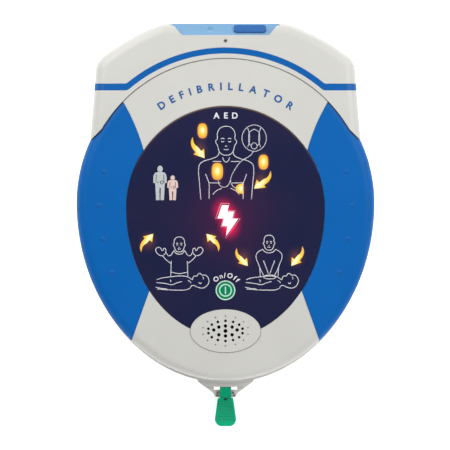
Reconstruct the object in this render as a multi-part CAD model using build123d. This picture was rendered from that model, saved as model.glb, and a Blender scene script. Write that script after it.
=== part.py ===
from build123d import *
import math
import os

os.makedirs("parts", exist_ok=True)

# The defibrillator lies on its back: +Z comes out of the front panel, +Y runs from the pull tab
# to the data port, and the origin is on the resting face behind the widest line of the housing.

# ---- overall sizes, mm ----
half_width = 92.0
foot_reach = 111.3
foot_rim = 1.6
side_recess = 0.4
depth = 48.0
dome_radius = 800.0
dome_centre_y = -6.0
edge_radius = 7.0
back_edge_radius = 4.0

# The plan of the shoulders, grips and overlay is given for this half width, and follows it.
plan_scale = half_width / 92.0


def in_plan(points):
    """Plan points that follow the width of the device."""
    return [(x * plan_scale, y * plan_scale) for x, y in points]


# ---- housing shells ----
split_z = 16.5
housing_wall = 3.4
chassis_floor = 2.0
chassis_skin = 2.0
seal_inset = 2.2
seal_width = 0.8
seal_height = 0.8
inlay_gap = 0.12
grip_thickness = 1.6
overlay_thickness = 0.8

# ---- seam between the housing and the cartridge's shoulders ----
seam_radius = half_width - 3.7
seam_centre_y = 0.9
seam_gap = 0.3
kink_angle = 30.3
rolled_edge_angle = 44.5
kink_inward = 0.16 * seam_radius
kink_outward = 0.35 * seam_radius
zone_reach = foot_reach + 40.0

# ---- shoulders of the cartridge ----
shoulder_top_y = 110.8 * plan_scale
shoulder_flat_half = 38.5 * plan_scale
shoulder_bulge, shoulder_corner, shoulder_foot = in_plan(((60.5, 100.7), (79.6, 87.5), (84.6, 25.0)))
shoulder_flat_round = 9.0
shoulder_corner_round = 12.0
shoulder_proud = 0.6
cartridge_wall = 2.2
cartridge_split_z = 14.0
stripe_inner_radius = seam_radius + 3.1
stripe_outer_radius = seam_radius + 6.8
stripe_low_y = 69.5 * plan_scale
stripe_high_y = stripe_low_y + 4.2
stripe_bend_round = 3.5
stripe_thickness = 0.5

# ---- tray of the cartridge, in the channel of the chassis ----
channel_half_width = 62.0 * plan_scale
channel_depth = 13.0
tray_side_gap = 0.5
tray_height = 12.0
tray_wall = 2.0
tray_floor = 1.8
tray_foot_inset = 1.6
lid_thickness = 0.35
lid_seat = 1.2
bay_low_y = 66.0 * plan_scale
bay_length = 14.0
bay_half_width = 24.0
pad_bay_top_y = bay_low_y - 5.0

# ---- lip and pull tab ----
lip_root_half = 17.3
lip_root_y = -foot_reach + 0.9
lip_waist_half = 7.6
lip_waist_y = -foot_reach - 6.2
lip_end_half = 6.4
lip_end_y = -foot_reach - 8.8
lip_low_z = 2.0
lip_bar_top_z = 8.8
lip_end_round = 1.0
knob_points = ((4.7, -foot_reach - 6.1), (5.4, -foot_reach - 7.8))
knob_radius = 0.6
knob_height = 1.0
slot_half_width = 7.2
slot_high_y = -foot_reach - 2.4
slot_low_y = -foot_reach - 4.3
strap_half_width = 3.5
strap_thickness = 1.0
strap_low_z = 9.4
strap_inner_y = -foot_reach + 50.5
strap_way_y = -foot_reach + 10.5
strap_clearance = 0.35
tab_shoulder_y = -foot_reach - 9.2
tab_shoulder_half = 4.8
tab_widest_y = -foot_reach - 22.0
tab_widest_half = 6.6
tab_end_y = -foot_reach - 26.9
tab_corner_round = 4.3
tab_shoulder_round = 0.8
tab_thickness = 2.4
tab_rib_count = 8
tab_rib_pitch = 1.65
tab_rib_top_y = -foot_reach - 12.1
tab_rib_half_width = 0.35
tab_edge_round = 0.7
mark_low_y = -foot_reach - 10.9
mark_height = 1.2
mark_half_width = 1.4
mark_depth = 0.4
tab_rib_height = 0.35
tab_rib_margin = 0.8

# ---- data port tongue ----
tongue_half_width = 33.0 * plan_scale
tongue_side_gap = 0.9
tongue_end_y = shoulder_top_y
tongue_root_y = seam_radius - 28.3
tongue_low_z = 13.6
tongue_wall = 2.0
tongue_skin_gap = 0.4
port_window_half = tongue_half_width - 6.0
port_window_y = (seam_radius - 18.3, seam_radius + 11.7)
port_window_z = (19.0, 32.0)
notch_low_y = shoulder_top_y - 7.1
notch_low_half = 27.0 * plan_scale
notch_high_half = 33.6 * plan_scale
notch_corner = 3.0
slope_top_y = shoulder_top_y - 7.4
slope_angle = 50.0
plug_centre_x = 15.0 * plan_scale
plug_centre_y = shoulder_top_y - 3.6
plug_flange = 0.9
plug_corner = 2.0
plug_body_width = 16.0
plug_body_height = 4.4
plug_width = plug_body_width + 3.8
plug_height = plug_body_height + 2.4
plug_body_depth = 4.5
plug_clearance = 0.3
socket_wall = 1.0
socket_squeeze = 0.6
socket_depth = 4.0
dimple_x = -9.3 * plan_scale
dimple_half = 2.4
dimple_ball_radius = 6.0
status_y = shoulder_top_y - 10.7
status_radius = 1.05
status_pipe_radius = 1.3
status_pipe_length = 15.3

# ---- display overlay, speaker and button ----
panel_centre_y = -3.1
panel_half_width = 61.1 * plan_scale
panel_up = 63.0 * plan_scale
panel_down = foot_reach - 31.6
speaker_y = -foot_reach + 32.3
speaker_half_width = 21.7
speaker_half_height = 13.3
speaker_proud = 0.4
grille_thickness = 2.4
inner_holes = ((0.0, 3.1), (0.0, -3.1), (4.1, 2.4), (4.1, -2.4), (7.2, 0.6))
inner_hole_radius = 1.05
outer_ring = (10.8, 6.2)
outer_hole_radius = 0.82
dimple_ring = (14.2, 9.2)
dimple_radius = 0.45
ring_count = 14
dimple_depth = 0.6
centre_hole_radius = 1.2
cone_radius = 12.5
cone_throat_radius = 4.0
cone_height = 4.0
cone_skin = 0.5
cone_drop = 2.2
basket_wall = 1.5
basket_height = 6.0
basket_floor = 1.0
basket_hole_radius = 5.0
basket_gap = 0.5
magnet_radius = 9.0
magnet_height = 5.0
button_y = -53.9
button_radius = 5.2
bezel_radius = 6.1
button_gap = 0.15
button_thickness = 1.8
button_travel = 0.7
button_proud = 0.3
button_edge_round = 0.3
button_seat = 1.2
button_boss_wall = 2.0
bezel_drop = 0.1
stem_radius = 2.0
switch_half = 3.0
switch_height = 1.6
stem_reach = 0.4

# Indicator lamps behind the overlay: the pictogram positions.
lamp_points = (
    (-14.2, 44.5),
    (23.4, 25.2),
    (-5.0, 19.5),
    (-17.0, 34.0),
    (22.5, 14.0),
    (0.5, -9.0),
    (-48.0, -25.0),
    (-8.0, -24.0),
    (10.5, -33.5),
    (44.0, -33.0),
)
lamp_window_radius = 3.2
lamp_size = 3.0
lamp_height = 1.2

# ---- grips ----
grip_top_arc = in_plan(((49.5, 28.5), (55.2, 46.5), (66.0, 67.0)))
grip_low_line = in_plan(((45.6, -50.4), (66.0, -107.6)))
grip_reach = 1.5 * half_width
nub_points = in_plan(((74.5, 19.3), (77.8, -1.5), (75.4, -22.2), (69.8, -42.7)))
nub_radius = 2.2
nub_height = 0.7

# ---- screws through the back ----
screw_points = in_plan(((74.0, 22.0), (68.0, -42.0)))
screw_radius = 1.3
screw_grip = 0.05
screw_hole_radius = 1.7
screw_head_radius = 3.0
screw_head_height = 2.4
screw_seat_z = 9.0
screw_top_z = 28.0
post_radius = 4.5

# ---- battery cells in the shoulders ----
cell_radius = 7.8
cell_length = 27.0
cell_low_z = 3.0
cell_points = in_plan(((44.7, 97.0), (57.7, 87.8), (69.3, 76.6)))
link_thickness = 0.3
link_width = 5.0
link_overlap = 3.0

# ---- latches at the lower ends of the shoulders ----
pivot_x = 77.0 * plan_scale
pivot_y = 57.0 * plan_scale
latch_pin_radius = 1.2
latch_running_gap = 0.05
latch_hub_radius = latch_pin_radius + 1.0
latch_pin_boss = 1.2
latch_pin_seat = 0.2
latch_pin_over = 2.5
latch_low_z = 20.6
latch_high_z = 31.4
latch_arm_thickness = 1.6
latch_arm_lean = 0.6
latch_pad_low_y = pivot_y + 3.0
latch_pad_high_y = pivot_y + 10.6
latch_pad_thickness = 3.05
latch_pad_recess = 0.15
latch_arm_inset = 1.2
latch_tooth_y = pivot_y - 6.6
latch_tooth_height = 2.6
latch_tooth_gap_low = 1.3
latch_tooth_gap_high = 0.8
latch_window_gap = 0.6
latch_way_out = 1.0
latch_way_in = 8.0

# ---- boards and parts inside ----
board_z = 37.5
board_thickness = 1.6
board_inset = 22.5
board_length = 120.0
board_shift = 5.0
diffuser_inset = 4.0
diffuser_length = 94.0
diffuser_shift = 4.0
diffuser_gap = 0.1
diffuser_thickness = 1.0
component_top_z = 37.0
device_floor_z = channel_depth + chassis_floor
inner_gap = 0.3
capacitor_centre = (-25.0, -18.0)
capacitor_size = (60.0, 50.0)
capacitor_corner = 8.0
core_low = (15.0, -38.0)
core_size = (36.0, 30.0, 18.0)
core_windows_x = (22.0, 37.0)
core_window_width = 7.0
core_window_low = 4.0
core_window_height = 10.0
winding_overhang = 6.0
relay_low = (-46.0, 18.0)
relay_size = (28.0, 16.0, 14.0)
sink_low = (-8.0, 12.0)
sink_size = (52.0, 30.0, 9.0)
sink_base = 2.0
fin_count = 7
fin_pitch = 8.0
fin_first = 2.0
fin_thickness = 1.5
power_switch_columns = (-24.0, -8.0, 8.0, 24.0)
power_switch_low_y = 44.0
power_switch_size = (14.0, 20.0, 5.0)

# ---- contacts between the device and the cartridge ----
contact_columns = (-15.0, -9.0, -3.0, 3.0, 9.0, 15.0)
contact_rows = (4.0, 10.0)
pin_radius = 0.8
pin_rise = 6.0
plate_size = 4.4
plate_thickness = 0.3

# ---- electrode pads in the tray ----
pad_centre_y = -20.0
pad_size = (96.0, 140.0)
pad_corner = 20.0
pad_thickness = 1.6
pad_stack_gap = 0.1
liner_size = (104.0, 148.0)
liner_corner = 18.0
liner_thickness = 0.4
lead_radius = 1.5
lead_centre_y = 10.0
lead_turns = (30.0, 34.0)


def dome_z(x, y, inset=0.0):
    """Height of the domed front face above the resting face, at a point of the plan."""
    radius = dome_radius - inset
    return depth - dome_radius + math.sqrt(radius**2 - x**2 - (y - dome_centre_y) ** 2)


def dome_ball(inset=0.0):
    """The large ball whose surface is the front face, moved inwards by inset."""
    return Pos(0, dome_centre_y, depth - dome_radius) * Sphere(dome_radius - inset)


def prism(face, low_z, high_z):
    """A plan face made solid between two heights."""
    return Pos(0, 0, low_z) * extrude(face, high_z - low_z, dir=(0, 0, 1))


def block(low_x, high_x, low_y, high_y, low_z, high_z):
    """A box from its lowest and highest corners."""
    middle = Pos((low_x + high_x) / 2, (low_y + high_y) / 2, (low_z + high_z) / 2)
    return middle * Box(high_x - low_x, high_y - low_y, high_z - low_z)


def rod(x, y, radius, low_z, high_z):
    """An upright cylinder."""
    return Pos(x, y, (low_z + high_z) / 2) * Cylinder(radius, high_z - low_z)


def both_sides(points):
    """Each point and its mirror image across the middle plane."""
    return [(side * x, y) for x, y in points for side in (-1, 1)]


def ring_points(half_x, half_y):
    """Points evenly stepped round an ellipse, starting at its top."""
    angles = [math.pi / 2 + 2 * math.pi * step / ring_count for step in range(ring_count)]
    return [(half_x * math.cos(angle), half_y * math.sin(angle)) for angle in angles]


def save(shape, node):
    export_step(shape, f"parts/{node}.step")


def egg_face(half, foot):
    """A half circle above the widest line and a half ellipse below it."""
    upper = CenterArc((0, 0), half, 0, 180)
    lower = EllipticalCenterArc((0, 0), half, foot, 180, arc_size=180)
    return make_face([upper, lower])


def front_face(inset=0.0):
    """The front housing's outline. The chassis shows below it as a rim."""
    return egg_face(half_width - inset, foot_reach - foot_rim - inset)


def chassis_face(inset=0.0):
    """The rear chassis's outline, just inside the grips at its sides."""
    return egg_face(half_width - side_recess - inset, foot_reach - inset)


def zone_face(shrink=0.0):
    """The plan of the shoulders' side of the seam, moved away from the seam by shrink."""
    angle = math.radians(kink_angle)
    diagonal = math.sqrt(0.5)
    kink_x = seam_radius * math.cos(angle) + shrink * diagonal
    kink_y = seam_centre_y + seam_radius * math.sin(angle) + shrink * diagonal
    half = [
        (kink_x - kink_inward, kink_y + kink_inward),
        (kink_x + kink_outward, kink_y - kink_outward),
        (zone_reach, kink_y - kink_outward),
        (zone_reach, zone_reach),
    ]
    points = half + [(-x, y) for x, y in reversed(half)]
    circle = Pos(0, seam_centre_y) * Circle(seam_radius + shrink)
    return Polygon(*points, align=None) - circle


def dome_solid(inset=0.0):
    """The front housing as a full block, before the seam is cut.

    The edge is rolled below the grips' upper ends. Above them it stays square out past the seam.
    """
    angle = math.radians(rolled_edge_angle)
    wing = (zone_reach * math.cos(angle), zone_reach * math.sin(angle))
    wedge = Polygon((0, 0), wing, (0, zone_reach), (-wing[0], wing[1]), align=None)
    outline = front_face(inset) + (wedge & Circle(half_width + edge_radius))
    body = prism(outline, split_z, depth + edge_radius) & dome_ball(inset)
    rolled_high_y = (half_width - inset) * math.sin(angle)
    rim = [e for e in body.faces().sort_by(Axis.Z)[-1].edges() if e.center().Y < rolled_high_y]
    return fillet(rim, edge_radius - inset)


def device_front(inset=0.0):
    """The front housing's block, cut along the seam."""
    return dome_solid(inset) - prism(zone_face(-inset), 0, 2 * depth)


def shoulder_face(inset=0.0):
    """The outline of the shoulders, closed across below the seam."""
    right = [
        Line((0, shoulder_top_y), (shoulder_flat_half, shoulder_top_y)),
        ThreePointArc((shoulder_flat_half, shoulder_top_y), shoulder_bulge, shoulder_corner),
        Line(shoulder_corner, shoulder_foot),
        Line(shoulder_foot, (0, shoulder_foot[1])),
    ]
    left = [mirror(edge, Plane.YZ) for edge in right]
    face = make_face(right + left)
    near_top = [v for v in face.vertices() if abs(abs(v.X) - shoulder_flat_half) < 0.01]
    face = fillet(near_top, shoulder_flat_round)
    near_corner = [v for v in face.vertices() if abs(abs(v.X) - shoulder_corner[0]) < 0.01]
    face = fillet(near_corner, shoulder_corner_round)
    if inset:
        face = offset(face, -inset, kind=Kind.INTERSECTION)
    return face


def shoulder_solid(inset=0.0, low_z=cartridge_split_z):
    """The shoulders as a full block with a rounded front edge, before the seam is cut."""
    body = prism(shoulder_face(inset), low_z, depth + edge_radius)
    body = body & dome_ball(inset - shoulder_proud)
    top = body.faces().sort_by(Axis.Z)[-1]
    rim = [e for e in top.edges() if e.center().Y > shoulder_foot[1] + inset + 1]
    return fillet(rim, edge_radius - inset)


def lobe_face(inset):
    """The plan of the two battery lobes beside the tongue."""
    lobes = shoulder_face(inset) & zone_face(seam_gap + inset)
    half = tongue_half_width + tongue_side_gap + inset
    return lobes - Rectangle(2 * half, 2 * zone_reach)


def panel_face(grow=0.0):
    """The overlay's outline: two half ellipses with the speaker's oval left out."""
    half = panel_half_width + grow
    upper = EllipticalCenterArc((0, panel_centre_y), half, panel_up + grow, 0, arc_size=180)
    lower = EllipticalCenterArc((0, panel_centre_y), half, panel_down + grow, 180, arc_size=180)
    return make_face([upper, lower])


def speaker_face(grow=0.0):
    """The speaker island's oval."""
    return Pos(0, speaker_y) * Ellipse(speaker_half_width + grow, speaker_half_height + grow)


def grip_face(side, shrink=0.0):
    """The plan of one grip, from the overlay's edge out past the housing's outline."""
    edges = [
        ThreePointArc(*grip_top_arc),
        Line(grip_top_arc[2], (grip_reach, grip_top_arc[2][1])),
        Line((grip_reach, grip_top_arc[2][1]), (grip_reach, grip_low_line[1][1])),
        Line((grip_reach, grip_low_line[1][1]), grip_low_line[1]),
        Line(grip_low_line[1], grip_low_line[0]),
        Line(grip_low_line[0], grip_top_arc[0]),
    ]
    face = make_face(edges)
    if shrink:
        face = offset(face, -shrink, kind=Kind.INTERSECTION)
    face = face - panel_face(inlay_gap + shrink)
    return face if side > 0 else mirror(face, Plane.YZ)


# ---- front housing, grips and overlay ----
outer = device_front()
cavity = device_front(housing_wall)
below_grip = device_front(grip_thickness)
below_overlay = device_front(overlay_thickness)

panel_plan = panel_face() - speaker_face(inlay_gap)
overlay = (outer & prism(panel_plan, split_z, 2 * depth)) - below_overlay
overlay -= rod(0, button_y, bezel_radius + inlay_gap, split_z, 2 * depth)
save(overlay, "display_overlay")

nub_sink = nub_radius - nub_height
for side, name in ((-1, "grip_left"), (1, "grip_right")):
    grip = (outer & prism(grip_face(side, inlay_gap), split_z, 2 * depth)) - below_grip
    for x, y in nub_points:
        grip += Pos(side * x, y, dome_z(x, y) - nub_sink) * Sphere(nub_radius) - below_grip
    save(grip, name)

housing = outer - cavity
housing -= prism(panel_face(inlay_gap), split_z, 2 * depth) - below_overlay
for side in (-1, 1):
    housing -= prism(grip_face(side), split_z - 1, 2 * depth) - below_grip
button_floor_z = dome_z(0, button_y) - button_thickness - button_travel
boss_low_z = button_floor_z - button_seat
boss_radius = bezel_radius + button_boss_wall
housing += rod(0, button_y, boss_radius, boss_low_z, dome_z(0, button_y, button_boss_wall))
housing -= rod(0, button_y, bezel_radius + inlay_gap, button_floor_z, 2 * depth)
housing -= rod(0, button_y, stem_radius + inner_gap, split_z, 2 * depth)
housing -= prism(speaker_face(inlay_gap), split_z, 2 * depth)
for x, y in lamp_points:
    housing -= rod(x, y, lamp_window_radius, board_z, 2 * depth)
housing -= block(-port_window_half, port_window_half, *port_window_y, *port_window_z)
for x, y in both_sides(screw_points):
    boss = rod(x, y, post_radius, split_z, dome_z(x, y, housing_wall) + 1)
    boss = boss & below_grip
    housing += boss
    housing -= rod(x, y, screw_radius + screw_grip, split_z - 1, screw_top_z + 1)
groove = prism(front_face(seal_inset) - zone_face(-seal_inset), split_z, split_z + seal_height)
seal_inner = seal_inset + seal_width
groove -= prism(front_face(seal_inner) - zone_face(-seal_inner), split_z, split_z + seal_height)
housing -= groove
save(housing, "front_housing")
save(groove, "housing_seal")

# ---- speaker ----
raised = dome_ball(-speaker_proud) & prism(speaker_face(), split_z, 2 * depth)
grille = raised - dome_ball(grille_thickness)
grille -= rod(0, speaker_y, centre_hole_radius, split_z, 2 * depth)
for x, y in sorted(set(both_sides(inner_holes))):
    grille -= rod(x, speaker_y + y, inner_hole_radius, split_z, 2 * depth)
for x, y in ring_points(*outer_ring):
    grille -= rod(x, speaker_y + y, outer_hole_radius, split_z, 2 * depth)
for x, y in ring_points(*dimple_ring):
    top = dome_z(x, speaker_y + y, -speaker_proud)
    grille -= rod(x, speaker_y + y, dimple_radius, top - dimple_depth, top + 1)
save(grille, "speaker_grille")

basket_top_z = dome_z(0, speaker_y - speaker_half_height, housing_wall) - basket_gap
basket_low_z = basket_top_z - basket_height
basket = rod(0, speaker_y, cone_radius + basket_wall, basket_low_z, basket_top_z)
basket -= rod(0, speaker_y, cone_radius, basket_low_z + basket_floor, basket_top_z)
basket -= rod(0, speaker_y, basket_hole_radius, basket_low_z, basket_top_z)
save(basket, "speaker_basket")
cone_rim = cone_radius - inner_gap
cone_outer = Cone(cone_throat_radius, cone_rim, cone_height)
cone_inner = Cone(cone_throat_radius - cone_skin, cone_rim - cone_skin, cone_height)
cone_inner = Pos(0, 0, cone_skin) * cone_inner
save(Pos(0, speaker_y, basket_top_z - cone_drop) * (cone_outer - cone_inner), "speaker_cone")
magnet = rod(0, speaker_y, magnet_radius, basket_low_z - magnet_height, basket_low_z)
save(magnet, "speaker_magnet")

# ---- rear chassis ----
chassis = extrude(chassis_face(), split_z)
chassis = fillet(chassis.faces().sort_by(Axis.Z)[0].edges(), back_edge_radius)
chassis -= prism(zone_face(), -1, split_z + 1)
inner_plan = front_face(housing_wall) - zone_face(-housing_wall)
channel = Rectangle(2 * channel_half_width, 2 * zone_reach)
chassis -= prism(channel, -1, channel_depth)
chassis -= prism(inner_plan, device_floor_z, split_z + 1)
cheek = prism(inner_plan, chassis_floor, device_floor_z)
keep_half = channel_half_width + chassis_skin
cheek -= block(-keep_half, keep_half, -zone_reach, zone_reach, 0, device_floor_z)
chassis -= cheek
for x, y in both_sides(screw_points):
    chassis += rod(x, y, post_radius, chassis_floor, split_z)
    chassis -= rod(x, y, screw_hole_radius, -1, split_z + 1)
    chassis -= rod(x, y, screw_head_radius + inner_gap, -1, screw_seat_z)

contact_points = [(x, bay_low_y + y) for x in contact_columns for y in contact_rows]
for x, y in contact_points:
    chassis -= rod(x, y, pin_radius, channel_depth - 1, split_z)
save(chassis, "rear_chassis")

screws = Compound(
    children=[
        rod(x, y, screw_head_radius, screw_seat_z - screw_head_height, screw_seat_z)
        + rod(x, y, screw_radius, screw_seat_z, screw_top_z)
        for x, y in both_sides(screw_points)
    ]
)
save(screws, "housing_screws")

contact_top_z = channel_depth - inner_gap
pins = [rod(x, y, pin_radius, contact_top_z, device_floor_z + pin_rise) for x, y in contact_points]
save(Compound(children=pins), "contact_pins")

# ---- data port tongue ----
tongue_inset = cartridge_wall + tongue_skin_gap - shoulder_proud
slope = math.radians(slope_angle)
slope_z = dome_z(0, slope_top_y, tongue_inset)
slope_plane = Plane(
    origin=(0, slope_top_y, slope_z),
    x_dir=(1, 0, 0),
    z_dir=(0, math.sin(slope), math.cos(slope)),
)
plug_on_slope = (plug_centre_y - slope_top_y) / math.cos(slope)


def on_slope(x, y, z):
    """A place given along the slope, down the slope and out of it."""
    return slope_plane * Pos(x, y, z)


tongue = block(
    -tongue_half_width, tongue_half_width, tongue_root_y, tongue_end_y, tongue_low_z, depth
) & dome_ball(tongue_inset)
tongue -= on_slope(0, 0, depth / 2) * Box(4 * tongue_half_width, 2 * depth, depth)
hollow = block(
    -tongue_half_width + tongue_wall,
    tongue_half_width - tongue_wall,
    tongue_root_y,
    tongue_end_y - tongue_wall,
    tongue_low_z + tongue_wall,
    depth,
) & dome_ball(tongue_inset + tongue_wall)
hollow -= on_slope(0, 0, depth / 2 - tongue_wall) * Box(4 * tongue_half_width, 2 * depth, depth)
seam_wall = Pos(0, seam_centre_y, depth / 2) * Cylinder(seam_radius, 2 * depth)
tongue = tongue - hollow - seam_wall
socket_width = plug_body_width + 2 * plug_clearance
socket_height = plug_body_height + 2 * plug_clearance
socket_way = Box(socket_width, socket_height, 4 * plug_body_depth)
tongue -= on_slope(plug_centre_x, plug_on_slope, 0) * socket_way
tongue -= rod(0, status_y, status_pipe_radius, tongue_low_z + tongue_wall, 2 * depth)
dimple_at = on_slope(dimple_x, plug_on_slope, math.sqrt(dimple_ball_radius**2 - dimple_half**2))
tongue -= dimple_at * Sphere(dimple_ball_radius)
save(tongue, "port_tongue")

flange = on_slope(plug_centre_x, plug_on_slope, 0) * extrude(
    RectangleRounded(plug_width, plug_height, plug_corner), plug_flange
)
plug_body = on_slope(plug_centre_x, plug_on_slope, -plug_body_depth / 2) * Box(
    plug_body_width, plug_body_height, plug_body_depth
)
save(flange + plug_body, "data_port_plug")

socket = on_slope(plug_centre_x, plug_on_slope, -plug_body_depth - inner_gap - socket_depth / 2) * Box(
    socket_width + 2 * socket_wall, socket_height - socket_squeeze, socket_depth
)
save(socket, "port_socket")

pipe_top_z = dome_z(0, status_y, tongue_inset)
pipe = rod(0, status_y, status_pipe_radius, pipe_top_z - status_pipe_length, pipe_top_z)
save(pipe, "status_light_pipe")

# ---- boards and components ----
board_reach = Pos(0, board_shift) * Rectangle(2 * half_width, board_length)
board_plan = front_face(board_inset) & board_reach
board_top_z = board_z + board_thickness
board = prism(board_plan, board_z, board_top_z)
save(board, "main_board")

lamp_z = board_top_z + lamp_height / 2
lamps = [Pos(x, y, lamp_z) * Box(lamp_size, lamp_size, lamp_height) for x, y in lamp_points]
save(Compound(children=lamps), "indicator_lamps")

diffuser_top = housing_wall + diffuser_gap
sheet_reach = Pos(0, diffuser_shift) * Rectangle(2 * half_width, diffuser_length)
sheet_plan = panel_face(-diffuser_inset) & sheet_reach
diffuser = dome_ball(diffuser_top) - dome_ball(diffuser_top + diffuser_thickness)
save(diffuser & prism(sheet_plan, board_z, 2 * depth), "light_diffuser")

switch_high_z = boss_low_z + stem_reach
stem_low_z = switch_high_z + button_travel + inner_gap
switch_plan = Pos(0, button_y) * Rectangle(2 * switch_half, 2 * switch_half)
save(prism(switch_plan, board_top_z, board_top_z + switch_height), "button_switch")


def on_floor(low, size, rise=0.0):
    """A block that stands on the floor of the device, from its low corner in plan."""
    low_z = device_floor_z + rise
    return block(low[0], low[0] + size[0], low[1], low[1] + size[1], low_z, low_z + size[2])


capacitor_plan = Pos(*capacitor_centre) * RectangleRounded(*capacitor_size, capacitor_corner)
save(prism(capacitor_plan, device_floor_z, component_top_z - 1), "storage_capacitor")

core = on_floor(core_low, core_size)
winding_low_y = core_low[1] - winding_overhang
winding_length = core_size[1] + 2 * winding_overhang
coil_width = core_window_width - 2 * inner_gap
coil_height = core_window_height - 2 * inner_gap
coil_rise = core_window_low + inner_gap
winding_low_x = core_windows_x[0] + inner_gap
winding_width = core_windows_x[1] + core_window_width - inner_gap - winding_low_x
end_turn = (winding_width, winding_overhang - inner_gap, coil_height)
winding = on_floor((winding_low_x, winding_low_y), end_turn, coil_rise)
winding += on_floor((winding_low_x, core_low[1] + core_size[1] + inner_gap), end_turn, coil_rise)
for x in core_windows_x:
    core_window = (core_window_width, winding_length, core_window_height)
    core -= on_floor((x, winding_low_y), core_window, core_window_low)
    leg = (coil_width, winding_length, coil_height)
    winding += on_floor((x + inner_gap, winding_low_y), leg, coil_rise)
save(core, "transformer_core")
save(winding, "transformer_winding")

save(on_floor(relay_low, relay_size), "discharge_relay")
sink = on_floor(sink_low, (sink_size[0], sink_size[1], sink_base))
for step in range(fin_count):
    fin_low = (sink_low[0] + fin_first + fin_pitch * step, sink_low[1])
    sink += on_floor(fin_low, (fin_thickness, sink_size[1], sink_size[2] - sink_base), sink_base)
save(sink, "heat_sink")
half_switch = power_switch_size[0] / 2
switches = [
    on_floor((x - half_switch, power_switch_low_y), power_switch_size) for x in power_switch_columns
]
save(Compound(children=switches), "power_switches")

# ---- on/off button ----
button_top_z = dome_z(0, button_y) + button_proud
cap_low_z = button_top_z - button_thickness
cap = rod(0, button_y, button_radius, cap_low_z, button_top_z)
cap = fillet(cap.faces().sort_by(Axis.Z)[-1].edges(), button_edge_round)
cap += rod(0, button_y, stem_radius, stem_low_z, cap_low_z)
save(cap, "on_off_button")
bezel = rod(0, button_y, bezel_radius, button_floor_z, button_top_z - bezel_drop)
bezel -= rod(0, button_y, button_radius + button_gap, 0, 2 * depth)
save(bezel, "button_bezel")

# ---- cartridge front shell and its stripe ----
shoulders = shoulder_solid()
in_zone = prism(zone_face(seam_gap), 0, 2 * depth)
shell = shoulders & in_zone
under_skin = dome_ball(cartridge_wall - shoulder_proud)
tongue_way_half = tongue_half_width + tongue_side_gap
shell -= block(-tongue_way_half, tongue_way_half, 0, zone_reach, 0, 2 * depth) & under_skin
notch = Polygon(
    (-notch_low_half, notch_low_y),
    (notch_low_half, notch_low_y),
    (notch_high_half, shoulder_top_y + 1),
    (-notch_high_half, shoulder_top_y + 1),
    align=None,
)
notch = fillet(notch.vertices().sort_by(Axis.Y)[:2], notch_corner)
shell -= prism(notch, 0, 2 * depth)
shell -= prism(lobe_face(cartridge_wall), 0, 2 * depth) & shoulder_solid(cartridge_wall, 0)
shell -= rod(0, status_y, status_radius, 0, 2 * depth)

bend_x = math.sqrt(stripe_inner_radius**2 - (stripe_low_y - seam_centre_y) ** 2)
ring = Pos(0, seam_centre_y) * (Circle(stripe_outer_radius) - Circle(stripe_inner_radius))
stripe_plan = ring & Pos(0, stripe_low_y + zone_reach / 2) * Rectangle(2 * zone_reach, zone_reach)
arm_height = stripe_high_y - stripe_low_y
arm_middle = (bend_x + half_width) / 2
for side in (-1, 1):
    arm_place = Pos(side * arm_middle, stripe_low_y + arm_height / 2)
    stripe_plan += arm_place * Rectangle(half_width - bend_x, arm_height)
bends = [v for v in stripe_plan.vertices() if abs(v.X) < bend_x + arm_height and v.Y < stripe_high_y + 0.01]
stripe_plan = fillet(bends, stripe_bend_round)
stripe = (shoulders - shoulder_solid(stripe_thickness, 0)) & prism(stripe_plan, split_z, 2 * depth)
shell -= stripe
save(stripe, "stripe_band")

# ---- latches ----
wall_lean = (shoulder_foot[0] - shoulder_corner[0]) / (shoulder_corner[1] - shoulder_foot[1])


def side_x(y):
    """The shoulders' side face at a height of the plan."""
    return shoulder_foot[0] - wall_lean * (y - shoulder_foot[1])


def latch(side):
    """A rocking latch: a pad to press above the pivot and a tooth below it."""
    pad_low_x = side_x(latch_pad_low_y) - latch_pad_recess
    pad_high_x = side_x(latch_pad_high_y) - latch_pad_recess
    pad_plan = Polygon(
        (pad_low_x - latch_pad_thickness, latch_pad_low_y),
        (pad_low_x, latch_pad_low_y),
        (pad_high_x, latch_pad_high_y),
        (pad_high_x - latch_pad_thickness, latch_pad_high_y),
        align=None,
    )
    arm_half = latch_arm_thickness / 2
    arm_low_x = pivot_x + latch_arm_lean
    arm_low_y = latch_tooth_y - latch_tooth_height / 2
    arm_plan = Polygon(
        (arm_low_x - arm_half, arm_low_y),
        (arm_low_x + arm_half, arm_low_y),
        (side_x(latch_pad_high_y) - latch_arm_inset, latch_pad_high_y),
        (pad_high_x - latch_pad_thickness, latch_pad_high_y),
        align=None,
    )
    tooth_x = math.sqrt((seam_radius + seam_gap) ** 2 - (latch_tooth_y - seam_centre_y) ** 2)
    tooth_plan = Polygon(
        (tooth_x + latch_tooth_gap_low, arm_low_y),
        (arm_low_x, arm_low_y),
        (arm_low_x, arm_low_y + latch_tooth_height),
        (tooth_x + latch_tooth_gap_high, arm_low_y + latch_tooth_height),
        align=None,
    )
    hub_plan = Pos(pivot_x, pivot_y) * Circle(latch_hub_radius)
    solid = prism(pad_plan + arm_plan + tooth_plan + hub_plan, latch_low_z, latch_high_z)
    hole_radius = latch_pin_radius + latch_running_gap
    solid -= rod(pivot_x, pivot_y, hole_radius, 0, depth)
    return solid if side > 0 else mirror(solid, Plane.YZ)


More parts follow.
